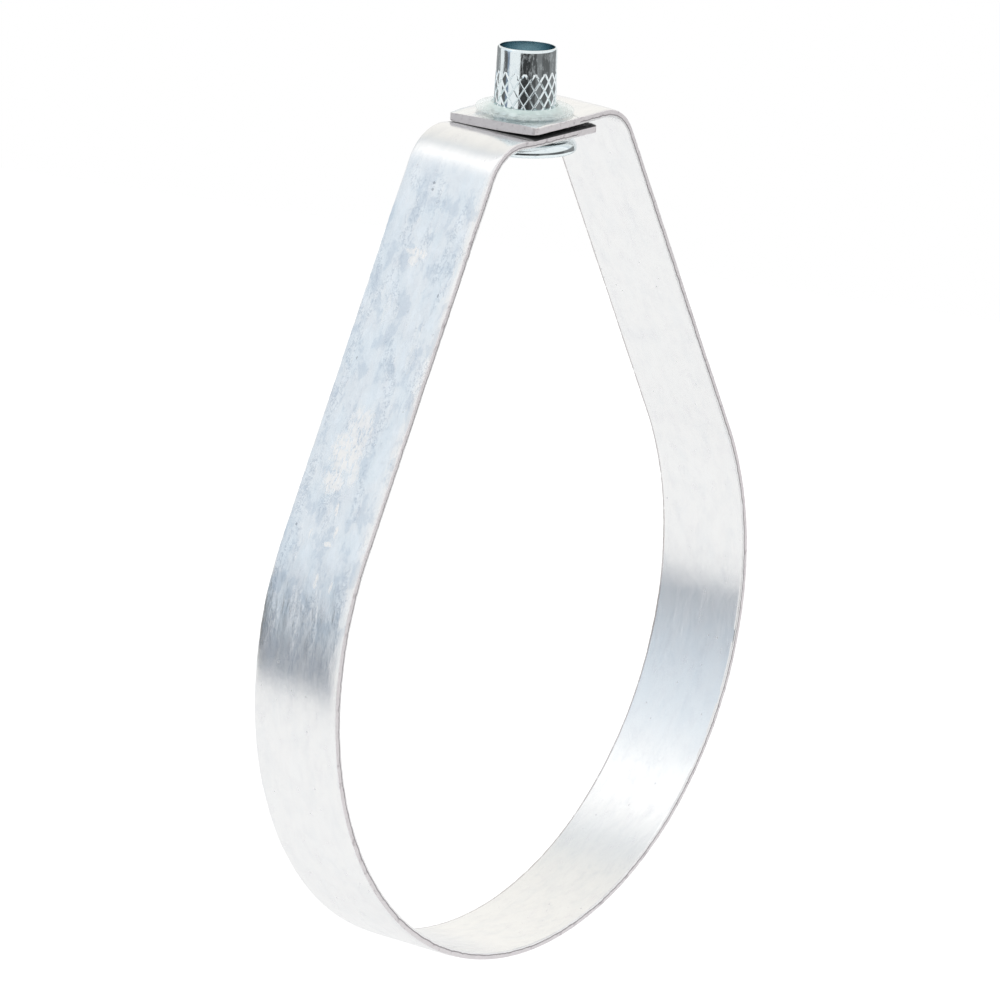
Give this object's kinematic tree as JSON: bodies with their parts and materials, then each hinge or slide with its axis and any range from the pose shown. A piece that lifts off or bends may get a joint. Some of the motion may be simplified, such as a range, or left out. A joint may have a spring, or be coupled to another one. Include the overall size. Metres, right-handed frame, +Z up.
{
  "type": "loop pipe hanger",
  "caption": "Pear-shaped swivel loop that carries a horizontal pipe from a threaded rod, with a knurled insert nut through overlapping tabs and a soft retaining washer.",
  "frame": {"origin": "centre of the ring, on the axis of the pipe that it carries", "axes": "+Z up along the rod, Y along the pipe; the leg with the lower tab is at -X and the leg with the upper tab at +X"},
  "size_m": [0.1764, 0.0284, 0.2472],
  "materials": {
    "galvanised_strip": "glossy galvanised strip with faint rolling streaks and rough sheared edges",
    "bright_zinc": "mirror-bright bluish zinc plating",
    "soft_plastic": "translucent pale green plastic"
  },
  "bodies": {
    "nut": {"swivel_nut": "bright_zinc", "retaining_washer": "soft_plastic"},
    "band": {"band_loop": "galvanised_strip"}
  },
  "joints": [
    {"name": "band_swivel", "type": "hinge", "parent": "nut", "child": "band", "pos_m": [-0.0058, 0, 0.139], "axis": [0, 0, 1], "continuous": true}
  ]
}
